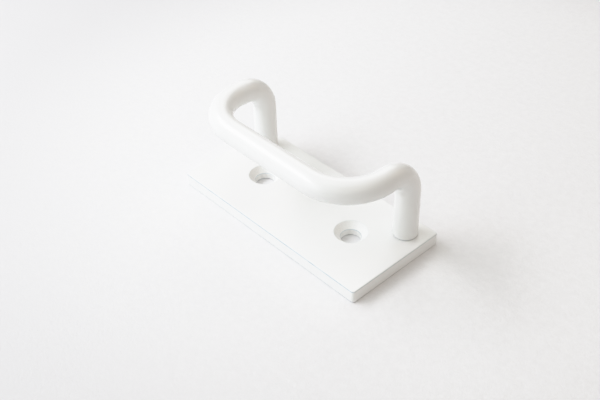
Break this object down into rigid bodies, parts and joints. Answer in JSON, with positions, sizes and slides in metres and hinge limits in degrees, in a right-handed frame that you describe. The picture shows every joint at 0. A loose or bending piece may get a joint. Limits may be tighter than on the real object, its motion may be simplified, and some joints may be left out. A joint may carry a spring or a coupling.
{
  "type": "sash lift handle",
  "caption": "White powder-coated sash lift: a bent round rod that fingers hook under, standing on a flat plate with countersunk mounting holes.",
  "frame": {"origin": "centre of the plate's back face, which lies against the sash", "axes": "+X along the plate, -Y towards the grip's side and +Y towards the legs' side, +Z out of the sash towards the grip"},
  "size_m": [0.08, 0.0376, 0.0346],
  "materials": {
    "plate_coat": "satin white powder coat on steel",
    "bar_coat": "gloss white powder coat on steel",
    "screw_steel": "bright zinc plated"
  },
  "bodies": {
    "root": {"base_plate": "plate_coat", "handle_bar": "bar_coat", "left_leg_screw": "screw_steel", "right_leg_screw": "screw_steel"}
  },
  "joints": []
}
